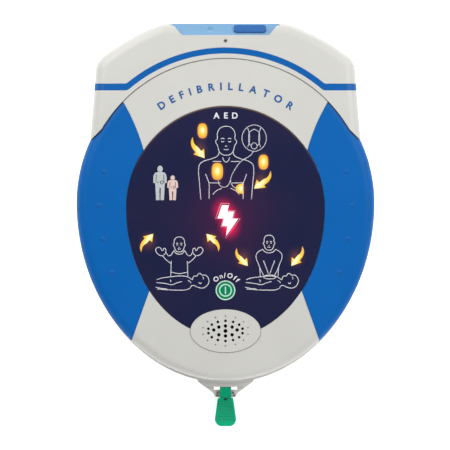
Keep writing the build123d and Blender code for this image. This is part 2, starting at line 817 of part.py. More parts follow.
save(latch(-1), "latch_left")
save(latch(1), "latch_right")
pin_low_z = tray_floor + latch_pin_seat
pin = rod(pivot_x, pivot_y, latch_pin_radius, pin_low_z, latch_high_z + latch_pin_over)
save(Compound(children=[pin, mirror(pin, Plane.YZ)]), "latch_pins")
window = block(
    pivot_x,
    half_width,
    latch_pad_low_y - latch_window_gap,
    latch_pad_high_y + latch_window_gap,
    latch_low_z - latch_window_gap,
    latch_high_z + latch_window_gap,
)
tooth_way = block(
    pivot_x - latch_way_in,
    pivot_x + latch_way_out,
    latch_tooth_y - latch_tooth_height,
    latch_tooth_y + latch_tooth_height,
    latch_low_z - latch_window_gap,
    latch_high_z + latch_window_gap,
)
for cut in (window, tooth_way):
    shell -= cut
    shell -= mirror(cut, Plane.YZ)
save(shell, "cartridge_shell")

# ---- cartridge tray ----
tray_half = channel_half_width - tray_side_gap


def pad_bay_face(inset):
    """The tray's outline below the shoulders, moved inwards by inset."""
    high_y = pad_bay_top_y + tray_wall - inset
    reach = Rectangle(2 * (tray_half - inset), 2 * zone_reach)
    return chassis_face(tray_foot_inset + inset) & Pos(0, high_y - zone_reach) * reach


strip = Rectangle(2 * tray_half, 2 * zone_reach)
bay_high_y = bay_low_y + bay_length
upper_strip = Pos(0, bay_high_y / 2) * Rectangle(2 * tray_half, bay_high_y + 2 * tray_wall)
tray_plan = (chassis_face(tray_foot_inset) & strip) + upper_strip
tray = extrude(tray_plan, tray_height)
rear = extrude(shoulder_face(), cartridge_split_z)
rear_rim = [
    e for e in rear.faces().sort_by(Axis.Z)[0].edges() if e.center().Y > shoulder_foot[1] + 1
]
rear = fillet(rear_rim, back_edge_radius) & in_zone
rear -= block(-tongue_way_half, tongue_way_half, 0, zone_reach, tray_height, depth)
tray += rear
lip_half = [
    (lip_root_half, -foot_reach + 4),
    (lip_root_half, lip_root_y),
    (lip_waist_half, lip_waist_y),
    (lip_end_half, lip_end_y),
]
lip_plan = Polygon(*lip_half, *[(-x, y) for x, y in reversed(lip_half)], align=None)
lip_plan = fillet(lip_plan.vertices().sort_by(Axis.Y)[:2], lip_end_round)
lip = prism(lip_plan, lip_low_z, tray_height)
lip -= block(-zone_reach, zone_reach, -zone_reach, slot_high_y, lip_bar_top_z, depth)
tray += lip
tray -= block(-slot_half_width, slot_half_width, slot_low_y, slot_high_y, 0, depth)
tray -= prism(pad_bay_face(tray_wall), tray_floor, tray_height)
tray -= block(-bay_half_width, bay_half_width, bay_low_y, bay_high_y, tray_floor, tray_height)
tray -= prism(lobe_face(cartridge_wall), tray_floor, cartridge_split_z)
strap_way_half = strap_half_width + strap_clearance
strap_top_z = strap_low_z + strap_thickness
tray -= block(
    -strap_way_half,
    strap_way_half,
    -zone_reach,
    strap_way_y,
    strap_low_z - strap_clearance,
    strap_top_z + strap_clearance,
)
for x, y in both_sides(knob_points):
    tray += rod(x, y, knob_radius, lip_bar_top_z - 0.5, lip_bar_top_z + knob_height)
for side in (-1, 1):
    pin_x = side * pivot_x
    tray += rod(pin_x, pivot_y, latch_pin_radius + latch_pin_boss, tray_floor, cartridge_split_z - 1)
    tray -= rod(pin_x, pivot_y, latch_pin_radius, pin_low_z, cartridge_split_z)
save(tray, "cartridge_tray")

lid_plan = pad_bay_face(tray_wall - lid_seat)
save(prism(lid_plan, tray_height, tray_height + lid_thickness), "tray_lid_film")

# ---- battery cells ----
cell_high_z = cell_low_z + cell_length
cells = [rod(x, y, cell_radius, cell_low_z, cell_high_z) for x, y in both_sides(cell_points)]
save(Compound(children=cells), "battery_cells")
links = []
for side in (-1, 1):
    path = [(side * x, y) for x, y in cell_points]
    for (x1, y1), (x2, y2), low in (
        (path[0], path[1], cell_high_z),
        (path[1], path[2], cell_low_z - link_thickness),
    ):
        turn = math.degrees(math.atan2(y2 - y1, x2 - x1))
        span = math.hypot(x2 - x1, y2 - y1)
        strip_at = Pos((x1 + x2) / 2, (y1 + y2) / 2, low + link_thickness / 2)
        links.append(strip_at * Rot(0, 0, turn) * Box(span + 2 * link_overlap, link_width, link_thickness))
save(Compound(children=links), "cell_links")

# ---- electrode pads, their liner and leads ----
lower_pad_z = tray_floor + latch_pin_seat
liner_z = lower_pad_z + pad_thickness + pad_stack_gap
upper_pad_z = liner_z + liner_thickness + pad_stack_gap
pad_plan = Pos(0, pad_centre_y) * RectangleRounded(*pad_size, pad_corner)
save(prism(pad_plan, lower_pad_z, lower_pad_z + pad_thickness), "electrode_pad_lower")
save(prism(pad_plan, upper_pad_z, upper_pad_z + pad_thickness), "electrode_pad_upper")
liner_plan = Pos(0, pad_centre_y) * RectangleRounded(*liner_size, liner_corner)
save(prism(liner_plan, liner_z, liner_z + liner_thickness), "pad_liner")
lead_z = upper_pad_z + pad_thickness + 2 * pad_stack_gap + lead_radius
leads = [Pos(0, lead_centre_y, lead_z) * Torus(turn, lead_radius) for turn in lead_turns]
save(Compound(children=leads), "electrode_leads")

contact_block = block(
    -bay_half_width + inner_gap,
    bay_half_width - inner_gap,
    bay_low_y + inner_gap,
    bay_high_y - inner_gap,
    tray_floor,
    tray_height,
)
save(contact_block, "contact_block")
plate_z = tray_height + plate_thickness / 2
plates = [Pos(x, y, plate_z) * Box(plate_size, plate_size, plate_thickness) for x, y in contact_points]
save(Compound(children=plates), "contact_plates")

# ---- pull tab ----
strap = block(
    -strap_half_width, strap_half_width, tab_shoulder_y, strap_inner_y, strap_low_z, strap_top_z
)
save(strap, "pull_strap")
tab_half = [
    (tab_shoulder_half, tab_shoulder_y),
    (tab_widest_half, tab_widest_y),
    (tab_widest_half - 0.2, tab_end_y),
]
tab_plan = Polygon(*tab_half, *[(-x, y) for x, y in reversed(tab_half)], align=None)
tab_plan = fillet(tab_plan.vertices().sort_by(Axis.Y)[:2], tab_corner_round)
tab_plan = fillet(tab_plan.vertices().sort_by(Axis.Y)[-2:], tab_shoulder_round)
tab_low_z = (strap_low_z + strap_top_z - tab_thickness) / 2
tab_high_z = tab_low_z + tab_thickness
tab = prism(tab_plan, tab_low_z, tab_high_z)
tab = fillet(tab.faces().sort_by(Axis.Z)[-1].edges(), tab_edge_round)
tab_flare = (tab_widest_half - tab_shoulder_half) / (tab_shoulder_y - tab_widest_y)
for step in range(tab_rib_count):
    rib_y = tab_rib_top_y - step * tab_rib_pitch
    flare_half = tab_shoulder_half + tab_flare * (tab_shoulder_y - rib_y)
    rib_half = min(flare_half, tab_widest_half) - tab_rib_margin
    rib = Pos(0, rib_y) * Rectangle(2 * rib_half, 2 * tab_rib_half_width)
    tab += prism(rib, tab_high_z - tab_rib_height, tab_high_z + tab_rib_height)
mark_low = [(side * mark_half_width, mark_low_y) for side in (-1, 1)]
mark = Polygon(*mark_low, (0, mark_low_y + mark_height), align=None)
tab -= prism(mark, tab_high_z - mark_depth, tab_high_z + 1)
save(tab, "pull_tab")
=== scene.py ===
import math

import bpy
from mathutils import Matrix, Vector


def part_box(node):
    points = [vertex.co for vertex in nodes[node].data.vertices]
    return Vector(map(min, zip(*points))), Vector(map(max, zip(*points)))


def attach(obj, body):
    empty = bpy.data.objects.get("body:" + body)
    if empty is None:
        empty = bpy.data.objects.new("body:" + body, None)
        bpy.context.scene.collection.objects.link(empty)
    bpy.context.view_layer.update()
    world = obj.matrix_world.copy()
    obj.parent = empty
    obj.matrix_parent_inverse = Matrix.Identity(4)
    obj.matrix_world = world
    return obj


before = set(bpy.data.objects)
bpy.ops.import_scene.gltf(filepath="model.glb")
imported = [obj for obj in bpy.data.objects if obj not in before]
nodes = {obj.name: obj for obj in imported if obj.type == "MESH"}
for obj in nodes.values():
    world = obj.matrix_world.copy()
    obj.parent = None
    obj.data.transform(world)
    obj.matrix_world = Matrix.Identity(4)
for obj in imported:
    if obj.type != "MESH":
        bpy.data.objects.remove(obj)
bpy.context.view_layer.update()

MM = 0.001

# ---- places taken from the frame ----
panel_top_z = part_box("display_overlay")[1].z
face_radius = 0.8
face_centre_y = -0.006
button_low, button_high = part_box("on_off_button")
button_centre = (button_low + button_high) / 2
tab_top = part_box("pull_tab")[1].z

# ---- colours, linear ----
WARM_GREY = (0.66, 0.655, 0.62)
# painted highlight: the housing grey lightened, standing for light that catches the chassis rim
RIM_GREY_PAINTED_LIGHT = (0.80, 0.785, 0.76)
PALE_GREY = (0.80, 0.80, 0.78)
GRIP_BLUE = (0.0, 0.125, 0.45)
STRIPE_BLUE = (0.0, 0.115, 0.42)
TONGUE_BLUE = (0.15, 0.34, 0.56)
PLUG_BLUE = (0.015, 0.115, 0.36)
NAVY = (0.013, 0.016, 0.058)
NAVY_PURPLE = (0.028, 0.016, 0.056)
FILM_EDGE = (0.16, 0.10, 0.06)
PRINT_WHITE = (0.86, 0.86, 0.89)
PRINT_GREY = (0.55, 0.58, 0.59)
PRINT_PEACH = (0.80, 0.60, 0.54)
PRINT_BLUE = (0.0, 0.10, 0.36)
MINT = (0.60, 0.86, 0.74)
BUTTON_GREEN = (0.0, 0.25, 0.10)
TAB_GREEN = (0.0, 0.50, 0.25)
# brownish dark for seam dust, also used as painted shade in seams and corners
DUST_AND_SEAM_SHADE = (0.20, 0.18, 0.16)


# ---------------------------------------------------------------- shader groups


def new_group(name, inputs, outputs):
    """A shader group with its sockets, its input node and its output node."""
    group = bpy.data.node_groups.new(name, "ShaderNodeTree")
    for label, kind, value in inputs:
        socket = group.interface.new_socket(label, in_out="INPUT", socket_type=kind)
        if value is not None:
            socket.default_value = value
    for label, kind in outputs:
        group.interface.new_socket(label, in_out="OUTPUT", socket_type=kind)
    enter = group.nodes.new("NodeGroupInput")
    leave = group.nodes.new("NodeGroupOutput")
    return group, enter, leave


def math_node(tree, operation, first, second=None, clamp=False):
    """A Math node whose inputs are sockets or numbers; returns its output."""
    node = tree.nodes.new("ShaderNodeMath")
    node.operation = operation
    node.use_clamp = clamp
    for socket, value in zip(node.inputs, (first, second)):
        if isinstance(value, bpy.types.NodeSocket):
            tree.links.new(value, socket)
        elif value is not None:
            socket.default_value = value
    return node.outputs[0]


def make_grain_group():
    """Fine moulded grain, and the slow mottling of a large moulding."""
    sockets = [
        ("Vector", "NodeSocketVector", None),
        ("Grain Scale", "NodeSocketFloat", 2500.0),
        ("Mottle Scale", "NodeSocketFloat", 30.0),
    ]
    group, enter, leave = new_group(
        "moulded_grain", sockets, [("Height", "NodeSocketFloat"), ("Mottle", "NodeSocketFloat")]
    )
    fine = group.nodes.new("ShaderNodeTexNoise")
    fine.inputs["Detail"].default_value = 4.0
    cells = group.nodes.new("ShaderNodeTexVoronoi")
    slow = group.nodes.new("ShaderNodeTexNoise")
    slow.inputs["Detail"].default_value = 5.0
    slow.inputs["Roughness"].default_value = 0.6
    for node, scale in ((fine, "Grain Scale"), (cells, "Grain Scale"), (slow, "Mottle Scale")):
        group.links.new(enter.outputs["Vector"], node.inputs["Vector"])
        group.links.new(enter.outputs[scale], node.inputs["Scale"])
    height = math_node(group, "MULTIPLY", fine.outputs["Fac"], cells.outputs["Distance"])
    group.links.new(height, leave.inputs["Height"])
    group.links.new(slow.outputs["Fac"], leave.inputs["Mottle"])
    return group


def make_edge_group():
    """Rounded shading on sharp edges, with a broken mask where hands have polished them."""
    sockets = [
        ("Vector", "NodeSocketVector", None),
        ("Radius", "NodeSocketFloat", 0.0004),
        ("Breakup Scale", "NodeSocketFloat", 250.0),
    ]
    group, enter, leave = new_group(
        "edge_wear", sockets, [("Normal", "NodeSocketVector"), ("Edge", "NodeSocketFloat")]
    )
    bevel = group.nodes.new("ShaderNodeBevel")
    bevel.samples = 6
    group.links.new(enter.outputs["Radius"], bevel.inputs["Radius"])
    surface = group.nodes.new("ShaderNodeNewGeometry")
    dot = group.nodes.new("ShaderNodeVectorMath")
    dot.operation = "DOT_PRODUCT"
    group.links.new(bevel.outputs["Normal"], dot.inputs[0])
    group.links.new(surface.outputs["Normal"], dot.inputs[1])
    bent = math_node(group, "SUBTRACT", 1.0, dot.outputs["Value"], clamp=True)
    strong = math_node(group, "MULTIPLY", bent, 5.0, clamp=True)
    noise = group.nodes.new("ShaderNodeTexNoise")
    noise.inputs["Detail"].default_value = 6.0
    group.links.new(enter.outputs["Vector"], noise.inputs["Vector"])
    group.links.new(enter.outputs["Breakup Scale"], noise.inputs["Scale"])
    broken = group.nodes.new("ShaderNodeMapRange")
    broken.inputs["From Min"].default_value = 0.42
    broken.inputs["From Max"].default_value = 0.62
    group.links.new(noise.outputs["Fac"], broken.inputs["Value"])
    worn = math_node(group, "MULTIPLY", strong, broken.outputs["Result"], clamp=True)
    group.links.new(bevel.outputs["Normal"], leave.inputs["Normal"])
    group.links.new(worn, leave.inputs["Edge"])
    return group


def make_dust_and_shade_group():
    """Painted shade in seams and corners from ambient occlusion, broken up by patchy dust."""
    sockets = [
        ("Vector", "NodeSocketVector", None),
        ("Reach", "NodeSocketFloat", 0.0015),
    ]
    group, enter, leave = new_group("seam_dust_and_shade", sockets, [("Dust And Shade", "NodeSocketFloat")])
    shade = group.nodes.new("ShaderNodeAmbientOcclusion")
    shade.samples = 6
    group.links.new(enter.outputs["Reach"], shade.inputs["Distance"])
    # painted shade: occlusion darkens seams and corners, and the noise makes it patchy like dust
    closed = math_node(group, "SUBTRACT", 1.0, shade.outputs["AO"], clamp=True)
    noise = group.nodes.new("ShaderNodeTexNoise")
    noise.inputs["Scale"].default_value = 400.0
    group.links.new(enter.outputs["Vector"], noise.inputs["Vector"])
    patchy = math_node(group, "ADD", noise.outputs["Fac"], 0.35, clamp=True)
    dust_and_shade = math_node(group, "MULTIPLY", closed, patchy, clamp=True)
    group.links.new(dust_and_shade, leave.inputs["Dust And Shade"])
    return group


def make_halo_group():
    """Light leaking through the film round a lamp, strongest at the lamp."""
    sockets = [
        ("Vector", "NodeSocketVector", None),
        ("Centre", "NodeSocketVector", None),
        ("Reach", "NodeSocketFloat", 0.006),
        ("Stretch", "NodeSocketFloat", 1.0),
    ]
    group, enter, leave = new_group("lamp_halo", sockets, [("Halo", "NodeSocketFloat")])
    offset = group.nodes.new("ShaderNodeVectorMath")
    offset.operation = "SUBTRACT"
    group.links.new(enter.outputs["Vector"], offset.inputs[0])
    group.links.new(enter.outputs["Centre"], offset.inputs[1])
    parts = group.nodes.new("ShaderNodeSeparateXYZ")
    group.links.new(offset.outputs["Vector"], parts.inputs[0])
    tall = math_node(group, "DIVIDE", parts.outputs["Y"], enter.outputs["Stretch"])
    across = math_node(group, "POWER", parts.outputs["X"], 2.0)
    along = math_node(group, "POWER", tall, 2.0)
    away = math_node(group, "SQRT", math_node(group, "ADD", across, along))
    share = math_node(group, "DIVIDE", away, enter.outputs["Reach"])
    inside = math_node(group, "SUBTRACT", 1.0, share, clamp=True)
    halo = math_node(group, "POWER", inside, 2.2)
    group.links.new(halo, leave.inputs["Halo"])
    return group


GRAIN = make_grain_group()
EDGES = make_edge_group()
SEAM_DUST_AND_SHADE = make_dust_and_shade_group()
HALO = make_halo_group()


# ---------------------------------------------------------------- materials


def place_group(tree, group, vector, **values):
    """A group node fed by a vector, with its own values."""
    node = tree.nodes.new("ShaderNodeGroup")
    node.node_tree = group
    tree.links.new(vector, node.inputs["Vector"])
    for label, value in values.items():
        node.inputs[label.replace("_", " ").title()].default_value = value
    return node


def mix_colour(tree, mask, first, second):
    """Two colours mixed by a mask; a colour is a socket or a linear triple."""
    node = tree.nodes.new("ShaderNodeMix")
    node.data_type = "RGBA"
    node.clamp_factor = True
    tree.links.new(mask, node.inputs["Factor"])
    for socket, value in ((node.inputs[6], first), (node.inputs[7], second)):
        if isinstance(value, bpy.types.NodeSocket):
            tree.links.new(value, socket)
        else:
            socket.default_value = (*value, 1.0)
    return node.outputs[2]


def shade(colour, factor):
    """A colour made darker or lighter."""
    return tuple(min(1.0, part * factor) for part in colour)


def finish_material(
    name,
    colour,
    roughness,
    grain_scale=2600.0,
    grain_depth=0.12,
    mottle_scale=28.0,
    mottle=0.05,
    wear=0.35,
    worn_colour=None,
    dust_and_shade=0.5,
    edge_radius=0.0004,
    metallic=0.0,
    **constants,
):
    """A moulded or metal finish: grain, slow mottling, polished edges, and dust with painted shade
    in the seams.
    """
    material = bpy.data.materials.new(name)
    material.use_nodes = True
    tree = material.node_tree
    shader = tree.nodes["Principled BSDF"]
    shader.inputs["Metallic"].default_value = metallic
    for label, value in constants.items():
        shader.inputs[label.replace("_", " ")].default_value = value
    place = tree.nodes.new("ShaderNodeTexCoord").outputs["Object"]
    grain = place_group(tree, GRAIN, place, grain_scale=grain_scale, mottle_scale=mottle_scale)
    edges = place_group(tree, EDGES, place, radius=edge_radius)
    dust_and_shade_node = place_group(tree, SEAM_DUST_AND_SHADE, place)
    darker, lighter = shade(colour, 1 - mottle), shade(colour, 1 + mottle)
    mottled = mix_colour(tree, grain.outputs["Mottle"], darker, lighter)
    edge_mask = math_node(tree, "MULTIPLY", edges.outputs["Edge"], wear)
    worn = mix_colour(tree, edge_mask, mottled, worn_colour or shade(colour, 1.25))
    # painted shade and dust: seams and corners darkened towards a dusty brown by ambient occlusion
    dust_and_shade_mask = math_node(tree, "MULTIPLY", dust_and_shade_node.outputs["Dust And Shade"], dust_and_shade)
    final = mix_colour(tree, dust_and_shade_mask, worn, DUST_AND_SEAM_SHADE)
    tree.links.new(final, shader.inputs["Base Color"])
    spread = tree.nodes.new("ShaderNodeMapRange")
    spread.inputs["To Min"].default_value = roughness * 0.85
    spread.inputs["To Max"].default_value = roughness * 1.15
    tree.links.new(grain.outputs["Mottle"], spread.inputs["Value"])
    polished = math_node(tree, "MULTIPLY", edge_mask, -0.12)
    uneven = math_node(tree, "ADD", spread.outputs["Result"], polished)
    tree.links.new(uneven, shader.inputs["Roughness"])
    bump = tree.nodes.new("ShaderNodeBump")
    bump.inputs["Strength"].default_value = grain_depth
    bump.inputs["Distance"].default_value = 0.0001
    tree.links.new(grain.outputs["Height"], bump.inputs["Height"])
    tree.links.new(edges.outputs["Normal"], bump.inputs["Normal"])
    tree.links.new(bump.outputs["Normal"], shader.inputs["Normal"])
    return material


def dress(node_names, material):
    """Puts one finish on CAD nodes."""
    for name in node_names:
        mesh = nodes[name].data
        mesh.materials.clear()
        mesh.materials.append(material)


housing_plastic = finish_material("housing_plastic", WARM_GREY, 0.42, grain_depth=0.16)
# painted highlight: rim, tray and latches get a lighter copy of the housing grey, for light on the
# rim
rim_plastic_painted_light = finish_material("rim_plastic_painted_light", RIM_GREY_PAINTED_LIGHT, 0.45, grain_depth=0.2)
dress(["front_housing", "cartridge_shell", "speaker_grille"], housing_plastic)
dress(["cartridge_tray", "rear_chassis", "latch_left", "latch_right"], rim_plastic_painted_light)

grip_rubber = finish_material(
    "grip_rubber",
    GRIP_BLUE,
    0.5,
    grain_scale=1500.0,
    grain_depth=0.3,
    mottle=0.08,
    worn_colour=(0.0, 0.16, 0.52),
    Specular_IOR_Level=0.16,
)
dress(["grip_left", "grip_right"], grip_rubber)
stripe_paint = finish_material(
    "stripe_paint", STRIPE_BLUE, 0.4, grain_depth=0.08, Specular_IOR_Level=0.25
)
dress(["stripe_band"], stripe_paint)
tongue_plastic = finish_material("tongue_plastic", TONGUE_BLUE, 0.3, grain_depth=0.08)
dress(["port_tongue"], tongue_plastic)
plug_rubber = finish_material(
    "plug_rubber", PLUG_BLUE, 0.5, grain_scale=1800.0, grain_depth=0.25, Specular_IOR_Level=0.25
)
dress(["data_port_plug"], plug_rubber)
tab_rubber = finish_material(
    "tab_rubber",
    TAB_GREEN,
    0.42,
    grain_scale=1600.0,
    grain_depth=0.2,
    mottle=0.1,
    Specular_IOR_Level=0.2,
)
dress(["pull_tab", "pull_strap"], tab_rubber)
button_plastic = finish_material(
    "button_plastic", BUTTON_GREEN, 0.4, grain_depth=0.1, mottle=0.08, Specular_IOR_Level=0.2
)
dress(["on_off_button"], button_plastic)
bezel_plastic = finish_material("bezel_plastic", MINT, 0.35, grain_depth=0.08, mottle=0.04)
dress(["button_bezel"], bezel_plastic)
black_plastic = finish_material(
    "black_plastic", (0.02, 0.02, 0.022), 0.5, worn_colour=(0.08, 0.08, 0.08)
)
dress(
    ["port_socket", "button_switch", "discharge_relay", "power_switches", "contact_block"],
    black_plastic,
)
seal_rubber = finish_material("seal_rubber", (0.02, 0.02, 0.02), 0.7, grain_scale=1500.0)
dress(["housing_seal"], seal_rubber)
cone_paper = finish_material(
    "cone_paper", (0.02, 0.02, 0.02), 0.8, grain_scale=900.0, grain_depth=0.5
)
dress(["speaker_cone"], cone_paper)
ferrite = finish_material("ferrite", (0.03, 0.03, 0.033), 0.6, worn_colour=(0.12, 0.12, 0.12))
dress(["speaker_magnet", "transformer_core"], ferrite)
steel = finish_material(
    "steel",
    (0.55, 0.55, 0.56),
    0.3,
    grain_scale=1200.0,
    metallic=1.0,
    worn_colour=(0.75, 0.75, 0.75),
)
dress(["speaker_basket", "housing_screws", "latch_pins"], steel)
nickel = finish_material("nickel", (0.62, 0.60, 0.57), 0.25, grain_scale=1400.0, metallic=1.0)
dress(["cell_links"], nickel)
gold = finish_material("gold", (0.80, 0.55, 0.20), 0.25, grain_scale=1400.0, metallic=1.0)
dress(["contact_pins", "contact_plates"], gold)
copper = finish_material("copper", (0.55, 0.24, 0.10), 0.35, grain_scale=800.0, metallic=1.0)
dress(["transformer_winding"], copper)
bare_aluminium = finish_material("bare_aluminium", (0.62, 0.63, 0.64), 0.35, metallic=1.0)
dress(["heat_sink", "storage_capacitor"], bare_aluminium)
board_lacquer = finish_material(
    "board_lacquer", (0.01, 0.11, 0.05), 0.3, mottle_scale=300.0, mottle=0.3
)
dress(["main_board"], board_lacquer)
lamp_lens = finish_material("lamp_lens", (0.9, 0.5, 0.06), 0.2)
dress(["indicator_lamps"], lamp_lens)
clear_plastic = finish_material("clear_plastic", PALE_GREY, 0.25)
dress(["light_diffuser", "status_light_pipe"], clear_plastic)
cell_wrap = finish_material("cell_wrap", (0.05, 0.10, 0.25), 0.25)
dress(["battery_cells"], cell_wrap)
pad_foam = finish_material("pad_foam", (0.72, 0.70, 0.66), 0.8, grain_scale=700.0, grain_depth=0.6)
dress(["electrode_pad_lower", "electrode_pad_upper"], pad_foam)
liner_film = finish_material("liner_film", (0.70, 0.74, 0.80), 0.15)
dress(["pad_liner"], liner_film)
lead_jacket = finish_material("lead_jacket", (0.70, 0.69, 0.66), 0.5)
dress(["electrode_leads"], lead_jacket)
lid_foil = finish_material(
    "lid_foil",
    (0.66, 0.66, 0.67),
    0.32,
    grain_scale=120.0,
    grain_depth=0.9,
    mottle=0.06,
    metallic=0.7,
)
dress(["tray_lid_film"], lid_foil)


# ------------------------------------------------ lit symbols: shapes and places, in mm

PADS = (
    ((-14.2, 44.5), 6.0, 9.2),
    ((23.4, 25.2), 6.0, 9.2),
    ((-5.0, 19.5), 7.0, 10.5),
)
HALF_PAD = ((9.4, 8.9), (10.8, 12.2), (10.8, 5.4))
ARROWS = (
    ((-20.2, 40.8), (-12.9, 27.6), -1),
    ((27.9, 19.9), (17.6, 8.8), 1),
    ((-52.0, -30.4), (-44.6, -19.0), 1),
    ((-4.3, -30.0), (-11.8, -19.0), -1),
    ((6.9, -27.8), (13.8, -38.9), -1),
    ((47.4, -26.6), (40.6, -38.9), 1),
)
BOLT = (
    (-2.8, -0.2),
    (2.3, -0.4),
    (1.1, -4.8),
    (5.9, -4.8),
    (4.6, -9.7),
    (9.1, -9.7),
    (0.2, -21.8),
    (1.1, -14.7),
    (-2.8, -14.7),
    (-1.3, -9.5),
    (-6.1, -9.5),
)
BOLT_CENTRE = (1.3, -9.5)
BOLT_GLOWS = (
    ((-1.5, -4.5), 9.5),
    ((2.5, -9.5), 10.0),
    ((2.5, -15.5), 9.0),
)


def halo_places():
    """Centre, reach, stretch and strength of the light that leaks round each lamp, in mm."""
    places = [(centre, 0.85 * wide, high / wide, 0.5) for centre, wide, high in PADS]
    places.append((HALF_PAD[0], 5.0, 1.2, 0.3))
    for tail, tip, _ in ARROWS:
        middle = tuple(0.42 * a + 0.58 * b for a, b in zip(tail, tip))
        places.append((middle, 7.5, 1.15, 0.16))
    return places


def make_overlay_film():
    """Dark polyester film: fine texture, and lamp light leaking round the symbols."""
    material = finish_material(
        "overlay_film",
        NAVY,
        0.34,
        grain_scale=4200.0,
        grain_depth=0.05,
        mottle=0.06,
        worn_colour=(0.03, 0.035, 0.07),
        dust_and_shade=0.25,
        Specular_IOR_Level=0.22,
    )
    tree = material.node_tree
    place = tree.nodes["Texture Coordinate"].outputs["Object"]
    shader = tree.nodes["Principled BSDF"]
    tint = shader.inputs["Base Color"].links[0].from_socket
    cloud = place_group(tree, GRAIN, place, grain_scale=900.0, mottle_scale=26.0)
    patches = tree.nodes.new("ShaderNodeMapRange")
    patches.inputs["From Min"].default_value = 0.42
    patches.inputs["From Max"].default_value = 0.66
    patches.inputs["To Max"].default_value = 0.35
    tree.links.new(cloud.outputs["Mottle"], patches.inputs["Value"])
    tint = mix_colour(tree, patches.outputs["Result"], tint, NAVY_PURPLE)
    rim = place_group(tree, HALO, place, centre=(0.0, -0.0031, 0.0), reach=0.0611, stretch=1.031)
    rim_mask = tree.nodes.new("ShaderNodeMapRange")
    rim_mask.inputs["From Min"].default_value = 0.0001
    rim_mask.inputs["From Max"].default_value = 0.0
    tree.links.new(rim.outputs["Halo"], rim_mask.inputs["Value"])
    parts = tree.nodes.new("ShaderNodeSeparateXYZ")
    tree.links.new(place, parts.inputs[0])
    upper = tree.nodes.new("ShaderNodeMapRange")
    upper.inputs["From Min"].default_value = 0.02
    upper.inputs["From Max"].default_value = 0.05
    tree.links.new(parts.outputs["Y"], upper.inputs["Value"])
    edge_mask = math_node(tree, "MULTIPLY", rim_mask.outputs["Result"], upper.outputs["Result"])
    tree.links.new(mix_colour(tree, edge_mask, tint, FILM_EDGE), shader.inputs["Base Color"])
    amber = None
    for centre, reach, stretch, strength in halo_places():
        halo = place_group(
            tree,
            HALO,
            place,
            centre=(centre[0] * MM, centre[1] * MM, 0.0),
            reach=reach * MM,
            stretch=stretch,
        )
        share = math_node(tree, "MULTIPLY", halo.outputs["Halo"], strength)
        amber = share if amber is None else math_node(tree, "ADD", amber, share)
    bolt_place = (BOLT_CENTRE[0] * MM, BOLT_CENTRE[1] * MM, 0.0)
    far = place_group(tree, HALO, place, centre=bolt_place, reach=0.045, stretch=1.1)
    red_total = math_node(tree, "MULTIPLY", far.outputs["Halo"], 0.06)
    for centre, reach in BOLT_GLOWS:
        near = place_group(
            tree,
            HALO,
            place,
            centre=(centre[0] * MM, centre[1] * MM, 0.0),
            reach=reach * MM,
            stretch=1.1,
        )
        red = math_node(tree, "MULTIPLY", near.outputs["Halo"], 1.2)
        red_total = math_node(tree, "ADD", red_total, red)
    glow = tree.nodes.new("ShaderNodeCombineColor")
    tree.links.new(math_node(tree, "ADD", red_total, amber), glow.inputs["Red"])
    tree.links.new(math_node(tree, "MULTIPLY", amber, 0.28), glow.inputs["Green"])
    tree.links.new(math_node(tree, "MULTIPLY", red_total, 0.07), glow.inputs["Blue"])
    tree.links.new(glow.outputs["Color"], shader.inputs["Emission Color"])
    shader.inputs["Emission Strength"].default_value = 1.0
    return material


dress(["display_overlay"], make_overlay_film())


def make_lamp_window(name, stops, strength):
    """A lit symbol: a hot core that cools towards its edge, read from the piece's own UV map."""
    material = bpy.data.materials.new(name)
    material.use_nodes = True
    tree = material.node_tree
    shader = tree.nodes["Principled BSDF"]
    shader.inputs["Roughness"].default_value = 0.3
    uv = tree.nodes.new("ShaderNodeUVMap")
    uv.uv_map = "lamp"
    span = tree.nodes.new("ShaderNodeVectorMath")
    span.operation = "LENGTH"
    tree.links.new(uv.outputs["UV"], span.inputs[0])
    place = tree.nodes.new("ShaderNodeTexCoord").outputs["Object"]
    grain = place_group(tree, GRAIN, place, grain_scale=3000.0, mottle_scale=600.0)
    uneven = tree.nodes.new("ShaderNodeMapRange")
    uneven.inputs["To Min"].default_value = -0.06
    uneven.inputs["To Max"].default_value = 0.06
    tree.links.new(grain.outputs["Mottle"], uneven.inputs["Value"])
    away = math_node(tree, "ADD", span.outputs["Value"], uneven.outputs["Result"])
    ramp = tree.nodes.new("ShaderNodeValToRGB")
    ramp.color_ramp.interpolation = "EASE"
    elements = ramp.color_ramp.elements
    while len(elements) < len(stops):
        elements.new(0.5)
    for element, (position, colour) in zip(elements, stops):
        element.position = position
        element.color = (*colour, 1.0)
    tree.links.new(away, ramp.inputs["Fac"])
    tree.links.new(ramp.outputs["Color"], shader.inputs["Emission Color"])
    shader.inputs["Base Color"].default_value = (0.08, 0.05, 0.03, 1.0)
    shader.inputs["Specular IOR Level"].default_value = 0.2
    shader.inputs["Emission Strength"].default_value = strength
    bump = tree.nodes.new("ShaderNodeBump")
    bump.inputs["Strength"].default_value = 0.1
    bump.inputs["Distance"].default_value = 0.0001
    tree.links.new(grain.outputs["Height"], bump.inputs["Height"])
    tree.links.new(bump.outputs["Normal"], shader.inputs["Normal"])
    return material


amber_window = make_lamp_window(
    "amber_window",
    (
        (0.0, (1.0, 1.0, 0.86)),
        (0.22, (1.0, 0.92, 0.40)),
        (0.50, (1.0, 0.66, 0.06)),
        (0.80, (0.90, 0.40, 0.03)),
        (1.0, (0.66, 0.27, 0.10)),
    ),
    1.0,
)
red_window = make_lamp_window(
    "red_window",
    ((0.0, (1.0, 1.0, 1.0)), (0.7, (1.0, 0.93, 0.92)), (1.0, (1.0, 0.62, 0.62))),
    1.3,
)
red_line = make_lamp_window("red_line", ((0.0, (1.0, 0.72, 0.75)), (1.0, (0.95, 0.35, 0.42))), 0.9)


